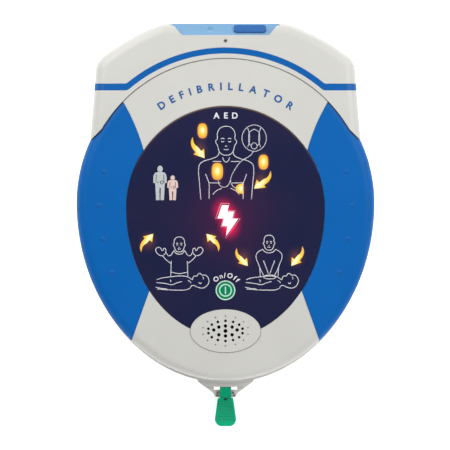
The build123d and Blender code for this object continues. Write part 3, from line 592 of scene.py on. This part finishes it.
def ink(name, colour, roughness=0.45, mottle=0.06):
    """A printing ink: fine mottling, with no seam dust and no painted seam shade."""
    return finish_material(name, colour, roughness, mottle_scale=500.0, mottle=mottle, dust_and_shade=0.0)


white_ink = ink("white_ink", PRINT_WHITE, mottle=0.08)
grey_ink = ink("grey_ink", PRINT_GREY)
peach_ink = ink("peach_ink", PRINT_PEACH)
blue_ink = ink("blue_ink", PRINT_BLUE, 0.4)
mint_ink = ink("mint_ink", MINT, 0.4)


# ---------------------------------------------------------------- printing on the domed face


def face_z(x, y):
    """Height of the domed face, in metres."""
    return panel_top_z - face_radius + math.sqrt(face_radius**2 - x**2 - (y - face_centre_y) ** 2)


def clear_selection():
    """Nothing selected, so that the next operator acts on the new piece alone."""
    bpy.ops.object.select_all(action="DESELECT")


def start_curve(name):
    """An empty flat curve, ready for splines."""
    clear_selection()
    bpy.ops.curve.primitive_bezier_curve_add()
    piece = bpy.context.object
    piece.name = name
    piece.data.splines.clear()
    return piece


def add_spline(curve, points, closed=False, corners=(), soft=True):
    """One stroke through points given in mm, smooth except at the listed corners."""
    spline = curve.splines.new("BEZIER")
    spline.bezier_points.add(len(points) - 1)
    spline.use_cyclic_u = closed
    for index, (point, (x, y)) in enumerate(zip(spline.bezier_points, points)):
        point.co = (x * MM, y * MM, 0.0)
        kind = "AUTO" if soft and index not in corners else "VECTOR"
        point.handle_left_type = kind
        point.handle_right_type = kind
    return spline


def to_mesh(piece):
    """A curve or text made a mesh, with doubles merged and faces turned outwards."""
    clear_selection()
    piece.select_set(True)
    bpy.context.view_layer.objects.active = piece
    bpy.ops.object.convert(target="MESH")
    bpy.ops.object.transform_apply(location=True, rotation=True, scale=True)
    bpy.ops.object.mode_set(mode="EDIT")
    bpy.ops.mesh.select_all(action="SELECT")
    bpy.ops.mesh.remove_doubles(threshold=1e-6)
    bpy.ops.mesh.normals_make_consistent(inside=False)
    bpy.ops.object.mode_set(mode="OBJECT")
    return piece


def lay_on_face(piece, lift):
    """Drops a flat mesh onto the domed face, lifted by a film's thickness."""
    for vertex in piece.data.vertices:
        vertex.co.z += face_z(vertex.co.x, vertex.co.y) + lift


def print_piece(piece, material, body="device"):
    """Gives a finished piece its material and the body it rides on."""
    piece.data.materials.clear()
    piece.data.materials.append(material)
    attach(piece, body)


def add_strokes(name, strokes, radius, material, flatten=0.35, lift=0.02):
    """Line art: each stroke is a half-sunk bead of ink that follows the face."""
    piece = start_curve(name)
    curve = piece.data
    curve.dimensions = "3D"
    curve.bevel_depth = radius * MM
    curve.bevel_resolution = 2
    curve.resolution_u = 6
    curve.use_fill_caps = True
    for points, closed in strokes:
        add_spline(curve, points, closed)
    to_mesh(piece)
    for vertex in piece.data.vertices:
        vertex.co.z *= flatten
    lay_on_face(piece, lift * MM)
    bpy.ops.object.shade_smooth()
    print_piece(piece, material)
    return piece


def add_flat_shape(name, outlines, thickness, lift, material, soft=True, corners=()):
    """Filled art: closed outlines in mm made a thin plate on the face."""
    piece = start_curve(name)
    curve = piece.data
    curve.dimensions = "2D"
    curve.fill_mode = "BOTH"
    curve.extrude = thickness / 2 * MM
    curve.resolution_u = 6
    for outline in outlines:
        add_spline(curve, outline, closed=True, corners=corners, soft=soft)
    to_mesh(piece)
    lay_on_face(piece, lift * MM)
    print_piece(piece, material)
    return piece


def map_lamp(piece, centre, half_wide, half_high, turn=0.0):
    """A UV map that is nought at the lamp's core and one at its edge."""
    layer = piece.data.uv_layers.new(name="lamp")
    cosine, sine = math.cos(turn), math.sin(turn)
    for loop in piece.data.loops:
        spot = piece.data.vertices[loop.vertex_index].co
        x = spot.x - centre[0] * MM
        y = spot.y - centre[1] * MM
        along = (cosine * x + sine * y) / (half_wide * MM)
        across = (-sine * x + cosine * y) / (half_high * MM)
        layer.data[loop.index].uv = (along, across)


def oval(centre, half_wide, half_high, count=16, squareness=1.0):
    """Points round an oval; squareness under one pulls it towards a rounded rectangle."""
    points = []
    for step in range(count):
        angle = 2 * math.pi * step / count
        cosine, sine = math.cos(angle), math.sin(angle)
        x = math.copysign(abs(cosine) ** squareness, cosine) * half_wide
        y = math.copysign(abs(sine) ** squareness, sine) * half_high
        points.append((centre[0] + x, centre[1] + y))
    return points


# ---- lit symbols ----
LAMP_THICKNESS = 0.05
LAMP_LIFT = 0.045
PRINT_THICKNESS = 0.04
PRINT_LIFT = 0.04


def add_pads():
    """The amber electrode pads."""
    for index, (centre, wide, high) in enumerate(PADS):
        outline = oval(centre, wide / 2, high / 2, squareness=0.72)
        name = f"lit_pad_{index + 1}"
        piece = add_flat_shape(
            name, [outline], LAMP_THICKNESS, LAMP_LIFT, amber_window
        )
        map_lamp(piece, (centre[0], centre[1] + 0.3), wide * 0.56, high * 0.56)
    core, top, bottom = HALF_PAD
    bulge = [
        (core[0] - 2.4, core[1] + 1.8),
        (core[0] - 3.2, core[1]),
        (core[0] - 2.4, core[1] - 1.9),
    ]
    piece = add_flat_shape(
        "lit_pad_side",
        [[bottom, *reversed(bulge), top]],
        LAMP_THICKNESS,
        LAMP_LIFT,
        amber_window,
        corners=(0, 4),
    )
    map_lamp(piece, core, 3.6, 4.4)


def add_arrows():
    """The amber arrows: a tail that swells along a bend and a broad head."""
    shape = (
        (0.0, 0.0),
        (0.13, -0.155),
        (0.35, -0.235),
        (0.61, -0.205),
        (0.64, -0.322),
        (1.0, 0.0),
        (0.65, 0.172),
        (0.67, 0.02),
        (0.48, -0.015),
        (0.28, -0.08),
    )
    for index, (tail, tip, bend) in enumerate(ARROWS):
        along = (tip[0] - tail[0], tip[1] - tail[1])
        side = (-along[1] * -bend, along[0] * -bend)
        outline = [
            (tail[0] + u * along[0] + v * side[0], tail[1] + u * along[1] + v * side[1])
            for u, v in shape
        ]
        piece = add_flat_shape(
            f"lit_arrow_{index + 1}",
            [outline],
            LAMP_THICKNESS,
            LAMP_LIFT,
            amber_window,
            corners=(0, 3, 4, 5, 6, 7),
        )
        length = math.hypot(*along)
        core = (
            tail[0] + 0.74 * along[0] - 0.06 * side[0],
            tail[1] + 0.72 * along[1] - 0.06 * side[1],
        )
        turn = math.atan2(along[1], along[0])
        map_lamp(piece, core, length * 0.95, length * 0.30, turn)


def add_bolt():
    """The red-lit lightning bolt, with a fine outline round its white core."""
    centre_x, centre_y = BOLT_CENTRE
    inner = [(centre_x + 0.84 * (x - centre_x), centre_y + 0.88 * (y - centre_y)) for x, y in BOLT]
    piece = add_flat_shape(
        "lit_bolt", [inner], LAMP_THICKNESS, LAMP_LIFT, red_window, soft=False
    )
    map_lamp(piece, BOLT_CENTRE, 8.0, 13.5)
    rim = start_curve("bolt_outline")
    rim.data.dimensions = "3D"
    rim.data.bevel_depth = 0.2 * MM
    rim.data.bevel_resolution = 2
    add_spline(rim.data, BOLT, closed=True, soft=False)
    to_mesh(rim)
    for vertex in rim.data.vertices:
        vertex.co.z *= 0.3
    lay_on_face(rim, 0.02 * MM)
    print_piece(rim, red_line)
    map_lamp(rim, BOLT_CENTRE, 8.0, 13.5)


add_pads()
add_arrows()
add_bolt()

# ---- line art ----
LINE = 0.24


def mirrored(points, axis_x):
    """The same stroke on the other side of an upright line."""
    return [(2 * axis_x - x, y) for x, y in points]


def head(centre, half_wide, half_high):
    """A head seen from the front: a rounded outline that narrows to the chin, with ears."""
    share = (
        (0.0, 1.0),
        (0.60, 0.88),
        (0.93, 0.50),
        (0.93, 0.12),
        (1.10, -0.04),
        (0.90, -0.34),
        (0.72, -0.74),
        (0.36, -0.97),
        (0.0, -1.0),
    )
    right = [(centre[0] + u * half_wide, centre[1] + v * half_high) for u, v in share]
    left = mirrored(right[1:-1], centre[0])
    return right + left[::-1]


def face_marks(centre, half_wide, half_high):
    """Brows, closed eyes, nose and mouth of a plain symbol face."""
    cx, cy = centre
    shares = (
        ((-0.55, 0.12), (-0.36, 0.17), (-0.18, 0.12)),
        ((-0.52, -0.04), (-0.36, -0.08), (-0.20, -0.04)),
        ((-0.10, -0.36), (0.0, -0.40)),
        ((-0.26, -0.60), (0.0, -0.63)),
    )
    marks = []
    for share in shares:
        stroke = [(cx + u * half_wide, cy + v * half_high) for u, v in share]
        marks += [(stroke, False), (mirrored(stroke, cx), False)]
    return marks


def torso_strokes():
    """The bare chest that shows where the pads go."""
    middle = 0.4
    flank = [
        (-3.9, 31.3),
        (-4.6, 29.4),
        (-8.2, 27.4),
        (-13.3, 25.8),
        (-15.9, 23.9),
        (-16.6, 20.8),
        (-16.0, 12.0),
        (-15.2, 2.1),
    ]
    arm = [(-12.3, 17.9), (-11.2, 15.0), (-10.2, 12.3), (-10.1, 7.0), (-10.1, 2.4)]
    breast = [(-10.2, 12.4), (-3.2, 12.3)]
    rib = [(-7.9, 5.2), (-5.4, 7.6), (-2.3, 9.0)]
    collar = [(-7.9, 25.6), (-2.6, 25.6)]
    notch = [(-1.8, 28.1), (-0.8, 25.9), (0.4, 25.1)]
    strokes = [(head((middle, 38.4), 5.9, 8.9), True)]
    for stroke in (flank, arm, breast, rib, collar, notch):
        strokes += [(stroke, False), (mirrored(stroke, middle), False)]
    return strokes + face_marks((middle, 38.4), 5.9, 8.9)


def lead_strokes():
    """The leads, and the round detail view that they start from."""
    middle = 17.7
    main = [
        (17.2, 31.9),
        (16.1, 30.1),
        (13.7, 28.3),
        (10.7, 26.5),
        (8.4, 24.4),
        (5.4, 20.0),
        (3.6, 16.4),
        (2.5, 12.6),
        (0.9, 10.3),
        (-1.4, 9.8),
        (-3.6, 11.0),
        (-4.6, 14.0),
    ]
    branch = [(3.0, 14.2), (3.6, 12.0), (4.8, 10.1), (7.3, 8.9)]
    side = [(13.7, 46.4), (14.8, 42.0), (14.8, 38.0), (13.7, 34.4)]
    arch = [(14.5, 37.0), (14.3, 40.5), (14.9, 43.7), (17.7, 45.6)]
    link = [(14.5, 37.0), (15.1, 35.9), (16.0, 35.4)]
    strokes = [(main, False), (branch, False)]
    for stroke in (side, arch, link):
        strokes += [(stroke, False), (mirrored(stroke, middle), False)]
    view_edge = oval((middle, 40.0), 7.5, 8.1)
    clip = oval((middle, 35.2), 1.8, 1.9, count=8)
    return strokes + [(view_edge, True), (clip, True)]


def patient_strokes(shift):
    """A person lying down, with the head to the right."""
    strokes = (
        [
            (-42.4, -47.4), (-40.0, -46.5), (-33.8, -45.6),
            (-28.3, -45.1), (-23.5, -45.6), (-20.4, -47.5),
        ],
        [
            (-20.4, -47.5), (-19.8, -45.6), (-18.8, -45.0),
            (-17.7, -45.1), (-16.9, -43.9), (-15.7, -43.4),
        ],
        [
            (-15.7, -43.4), (-14.3, -44.5), (-12.6, -44.5),
            (-10.7, -46.2), (-10.2, -48.6), (-11.2, -51.0),
        ],
        [
            (-11.2, -51.0), (-13.8, -52.5), (-17.2, -52.0),
            (-20.0, -50.9), (-21.2, -51.4), (-21.8, -52.6),
        ],
        [(-21.8, -52.6), (-23.9, -53.5), (-29.7, -53.8), (-36.0, -53.6), (-42.3, -53.1)],
        [(-43.1, -51.9), (-39.9, -52.7), (-36.0, -53.1)],
        [(-42.7, -49.1), (-37.0, -49.7), (-32.8, -50.4), (-29.6, -49.2), (-26.8, -48.5)],
        [(-34.3, -47.3), (-33.8, -48.0), (-33.8, -48.9)],
        [(-23.2, -47.8), (-21.9, -48.5), (-21.2, -49.5)],
        [(-16.6, -49.0), (-15.7, -49.8), (-14.8, -49.0)],
        [(-14.1, -45.6), (-13.6, -46.4), (-13.7, -47.2)],
    )
    return [([(x + shift, y) for x, y in stroke], False) for stroke in strokes]


def raised_hands_strokes():
    """The helper who stands clear with both hands up."""
    middle = -28.5
    hand = [
        (-36.9, -30.2),
        (-36.9, -28.7),
        (-37.5, -28.0),
        (-38.3, -28.2),
        (-38.7, -29.4),
        (-40.4, -27.6),
        (-41.9, -27.5),
        (-43.0, -28.6),
        (-42.9, -30.0),
        (-41.2, -31.9),
        (-39.4, -32.6),
        (-37.8, -31.9),
    ]
    sleeve = [(-31.8, -29.4), (-34.7, -32.6), (-36.9, -30.3)]
    arm = [(-39.0, -32.5), (-36.3, -35.4), (-33.8, -37.3)]
    side = [(-33.4, -35.8), (-33.6, -40.0), (-33.8, -45.3)]
    collar = [(-31.8, -29.4), (-30.5, -31.1), (-28.5, -31.8)]
    hem = [(-33.5, -42.7), (-28.5, -43.6), (-23.5, -42.7)]
    strokes = [(head((middle, -25.6), 3.4, 4.6), True), (hem, False)]
    strokes += [(hand, True), (mirrored(hand, middle), True)]
    for stroke in (sleeve, arm, side, collar):
        strokes += [(stroke, False), (mirrored(stroke, middle), False)]
    return strokes + face_marks((middle, -25.6), 3.4, 4.6)


def pressing_strokes():
    """The helper who presses on the chest."""
    middle = 26.9
    shoulder = [
        (22.9, -28.6),
        (20.6, -29.9),
        (19.1, -31.6),
        (18.9, -33.6),
        (20.9, -39.3),
        (21.4, -45.5),
    ]
    outer = [(20.9, -39.3), (22.2, -42.2), (23.6, -44.7)]
    inner = [(23.4, -35.5), (25.0, -39.6), (26.5, -43.9)]
    collar = [(22.9, -28.6), (24.4, -30.2), (26.9, -30.9)]
    strokes = [(head((middle, -24.5), 3.3, 4.6), True)]
    for stroke in (shoulder, outer, inner, collar):
        strokes += [(stroke, False), (mirrored(stroke, middle), False)]
    strokes += [(oval((27.3, -45.7), 3.8, 1.2, count=12), True)]
    return strokes + face_marks((middle, -24.5), 3.3, 4.6)


add_strokes("torso_lines", torso_strokes(), LINE, white_ink)
add_strokes("lead_lines", lead_strokes(), LINE * 0.85, white_ink)
add_strokes("clear_helper_lines", raised_hands_strokes(), LINE, white_ink)
add_strokes("pressing_helper_lines", pressing_strokes(), LINE, white_ink)
add_strokes("patient_lines_left", patient_strokes(0.0), LINE, white_ink)
add_strokes("patient_lines_right", patient_strokes(55.2), LINE, white_ink)


def person_outline(centre_x, foot_y, height, girth):
    """A standing figure in outline, without its head."""
    half = (
        (0.040, 0.835),
        (0.075, 0.815),
        (0.150, 0.785),
        (0.200, 0.505),
        (0.165, 0.492),
        (0.142, 0.500),
        (0.136, 0.400),
        (0.116, 0.0),
        (0.010, 0.0),
        (0.018, 0.355),
    )
    right = [(centre_x + u * height * girth, foot_y + v * height) for u, v in half]
    return right + mirrored(right, centre_x)[::-1]


def add_people():
    """The adult and the child, the two sizes of patient: place, height and girth."""
    foot_y = 1.7
    people = (("adult", -40.4, 21.3, 1.0, grey_ink), ("child", -32.6, 15.3, 1.12, peach_ink))
    for name, x, height, girth, colour in people:
        body = person_outline(x, foot_y, height, girth)
        skull = oval((x, foot_y + height * 0.905), height * 0.080 * girth, height * 0.094, count=12)
        soft_points = (1, 2, len(body) - 3, len(body) - 2)
        corners = [index for index in range(len(body)) if index not in soft_points]
        add_flat_shape(
            f"{name}_symbol",
            [body],
            PRINT_THICKNESS,
            PRINT_LIFT,
            colour,
            corners=corners,
        )
        add_flat_shape(
            f"{name}_symbol_head", [skull], PRINT_THICKNESS, PRINT_LIFT, colour
        )
        chest_y = foot_y + 0.515 * height
        marks = [
            (oval((x + 0.055 * height, chest_y), 0.04 * height, 0.045 * height, count=8), True),
            (
                [
                    (x - 0.075 * height, chest_y - 0.02 * height),
                    (x - 0.035 * height, chest_y + 0.02 * height),
                ],
                False,
            ),
        ]
        for side in (-1, 1):
            armpit = (x + side * 0.105 * height, foot_y + 0.74 * height)
            hand = (x + side * 0.12 * height, foot_y + 0.52 * height)
            marks.append(([armpit, hand], False))
        add_strokes(
            f"{name}_symbol_lines",
            marks,
            0.010 * height,
            overlay_ink,
            lift=0.05,
        )


overlay_ink = ink("overlay_ink", (0.02, 0.02, 0.05), mottle=0.05)
add_people()


# ---- lettering ----


def add_arc_word(name, word, centre, radius, size, half_angle, material):
    """A word set along an arc, one letter at a time, with even gaps between the letters."""
    widths = []
    letters = []
    for index, letter in enumerate(word):
        clear_selection()
        bpy.ops.object.text_add()
        piece = bpy.context.object
        piece.name = f"{name}_{index}"
        piece.data.body = letter
        piece.data.size = size * MM
        piece.data.align_x = "CENTER"
        piece.data.extrude = 0.03 * MM
        piece.data.offset = 0.03 * size * MM
        piece.data.resolution_u = 4
        bpy.context.view_layer.update()
        widths.append(piece.dimensions.x / MM)
        letters.append(piece)
    spare = 2 * math.radians(half_angle) * radius - sum(widths)
    gap = spare / (len(word) - 1)
    reach = -math.radians(half_angle) * radius
    made = []
    for piece, wide in zip(letters, widths):
        angle = (reach + wide / 2) / radius
        reach += wide + gap
        piece.location = (
            (centre[0] + radius * math.sin(angle)) * MM,
            (centre[1] + radius * math.cos(angle)) * MM,
            0.0,
        )
        piece.rotation_euler = (0.0, 0.0, -angle)
        made.append(to_mesh(piece))
    clear_selection()
    for piece in made:
        piece.select_set(True)
    bpy.context.view_layer.objects.active = made[0]
    bpy.ops.object.join()
    joined = bpy.context.object
    joined.name = name
    lay_on_face(joined, PRINT_LIFT * MM)
    print_piece(joined, material)


add_arc_word(
    "arc_lettering",
    "DEFIBRILLATOR",
    centre=(0.0, 0.0),
    radius=69.9,
    size=6.3,
    half_angle=35.0,
    material=blue_ink,
)
add_arc_word(
    "type_lettering",
    "AED",
    centre=(0.0, -400.0),
    radius=452.2,
    size=5.2,
    half_angle=0.95,
    material=white_ink,
)
add_arc_word(
    "on_off_lettering",
    "On/Off",
    centre=(0.4, -53.9),
    radius=7.9,
    size=4.2,
    half_angle=54.0,
    material=white_ink,
)


# ---- the printing on the button ----


def add_button_print():
    """The ring and bar of the power symbol, raised on the button's cap."""
    top = button_high.z
    x, y = button_centre.x, button_centre.y
    clear_selection()
    bpy.ops.mesh.primitive_torus_add(
        location=(x, y, top),
        major_radius=3.6 * MM,
        minor_radius=0.42 * MM,
        major_segments=64,
        minor_segments=10,
    )
    ring = bpy.context.object
    ring.name = "button_ring_print"
    ring.scale = (1.0, 1.0, 0.18)
    bpy.ops.object.transform_apply(location=True, rotation=True, scale=True)
    bpy.ops.object.shade_smooth()
    print_piece(ring, mint_ink, "on_off_button")
    clear_selection()
    bpy.ops.mesh.primitive_cube_add(size=1.0, location=(x, y, top))
    bar = bpy.context.object
    bar.name = "button_bar_print"
    bar.scale = (0.8 * MM, 4.4 * MM, 0.12 * MM)
    bpy.ops.object.transform_apply(location=True, rotation=True, scale=True)
    bpy.ops.object.mode_set(mode="EDIT")
    bpy.ops.mesh.select_all(action="SELECT")
    bpy.ops.mesh.bevel(offset=0.05 * MM, segments=2)
    bpy.ops.object.mode_set(mode="OBJECT")
    print_piece(bar, mint_ink, "on_off_button")


add_button_print()


TAB_RIB_HEIGHT = 0.35


def add_tab_mark():
    """A small dark triangle that points along the pull, its dark colour painted shade for a small
    triangular recess.
    """
    low_y = -121.8
    half_wide = 1.6
    tall = 1.3
    outline = [(-half_wide, low_y), (half_wide, low_y), (0.0, low_y + tall)]
    piece = start_curve("tab_mark")
    piece.data.dimensions = "2D"
    piece.data.fill_mode = "BOTH"
    piece.data.extrude = 0.03 * MM
    add_spline(piece.data, outline, closed=True, soft=False)
    to_mesh(piece)
    for vertex in piece.data.vertices:
        vertex.co.z += tab_top - TAB_RIB_HEIGHT * MM
    print_piece(piece, tab_mark_painted_shade, "pull_tab")


STUDS = ((4.7, -117.4), (5.4, -119.1))
STUD_TOP = 0.0098
STUD_RADIUS = 0.62
STUD_SQUASH = 0.45


def add_lip_studs():
    """Domed caps on the studs of the tray's lip, dark grey as painted shade for the shaded look of
    the small knobs.
    """
    for index, (x, y) in enumerate(STUDS):
        for side in (-1, 1):
            clear_selection()
            bpy.ops.mesh.primitive_uv_sphere_add(
                segments=24,
                ring_count=12,
                radius=STUD_RADIUS * MM,
                location=(side * x * MM, y * MM, STUD_TOP),
            )
            stud = bpy.context.object
            stud.name = f"lip_stud_{index * 2 + (side + 1) // 2 + 1}"
            stud.scale = (1.0, 1.0, STUD_SQUASH)
            bpy.ops.object.transform_apply(location=True, rotation=True, scale=True)
            bpy.ops.object.shade_smooth()
            print_piece(stud, stud_cap_painted_shade, "cartridge")


# painted shade: the dark triangle stands for the shade inside a small recess on the tab
tab_mark_painted_shade = ink("tab_mark_painted_shade", (0.0, 0.05, 0.03), 0.5, mottle=0.05)
# painted shade: dark grey caps stand for the shade on the lip's small knobs
stud_cap_painted_shade = finish_material("stud_cap_painted_shade", (0.16, 0.17, 0.17), 0.5, grain_scale=1800.0)
add_tab_mark()
add_lip_studs()

# ---------------------------------------------------------------- floor, light and camera


def add_floor():
    """A plain pale floor that the device lies on."""
    clear_selection()
    bpy.ops.mesh.primitive_plane_add(size=12.0, location=(0.0, 0.0, -0.0002))
    floor = bpy.context.object
    floor.name = "floor"
    material = bpy.data.materials.new("floor_paper")
    material.use_nodes = True
    shader = material.node_tree.nodes["Principled BSDF"]
    shader.inputs["Base Color"].default_value = (0.93, 0.93, 0.93, 1.0)
    shader.inputs["Roughness"].default_value = 0.9
    shader.inputs["Specular IOR Level"].default_value = 0.1
    shader.inputs["Emission Color"].default_value = (1.0, 1.0, 1.0, 1.0)
    shader.inputs["Emission Strength"].default_value = 0.55
    floor.data.materials.append(material)


def add_world():
    """Soft light from all round, brighter near the horizon than overhead."""
    world = bpy.data.worlds.new("studio")
    bpy.context.scene.world = world
    world.use_nodes = True
    tree = world.node_tree
    place = tree.nodes.new("ShaderNodeTexCoord").outputs["Generated"]
    parts = tree.nodes.new("ShaderNodeSeparateXYZ")
    tree.links.new(place, parts.inputs[0])
    fall = tree.nodes.new("ShaderNodeMapRange")
    fall.inputs["From Min"].default_value = 0.15
    fall.inputs["From Max"].default_value = 0.95
    fall.inputs["To Min"].default_value = 1.5
    fall.inputs["To Max"].default_value = 0.75
    tree.links.new(parts.outputs["Z"], fall.inputs["Value"])
    tree.links.new(fall.outputs["Result"], tree.nodes["Background"].inputs["Strength"])


SOFTBOX_SIDE = 0.9
LIGHT_AIM_Z = 0.02


def add_softbox(name, place, power):
    """A square area light that faces the object."""
    light = bpy.data.lights.new(name, "AREA")
    light.size = SOFTBOX_SIDE
    light.energy = power
    lamp = bpy.data.objects.new(name, light)
    bpy.context.scene.collection.objects.link(lamp)
    lamp.location = place
    aim = Vector((0.0, 0.0, LIGHT_AIM_Z)) - Vector(place)
    lamp.rotation_euler = aim.to_track_quat("-Z", "Y").to_euler()


def add_camera():
    """A long lens straight above the panel."""
    reach = 12.0
    half_frame = 0.1389
    focus_z = 0.043
    centre_y = -0.0136
    camera = bpy.data.cameras.new("camera")
    camera.sensor_width = 36.0
    camera.lens = camera.sensor_width / 2 * reach / half_frame
    holder = bpy.data.objects.new("camera", camera)
    bpy.context.scene.collection.objects.link(holder)
    holder.location = (-0.0003, centre_y, focus_z + reach)
    bpy.context.scene.camera = holder


add_floor()
add_world()
add_softbox("key_light", (-0.75, 0.85, 0.85), power=15.0)
add_softbox("fill_light", (0.85, 0.45, 0.75), power=9.0)
add_softbox("low_light", (0.1, -1.0, 0.7), power=7.0)
add_camera()
bpy.context.scene.view_settings.view_transform = "Standard"
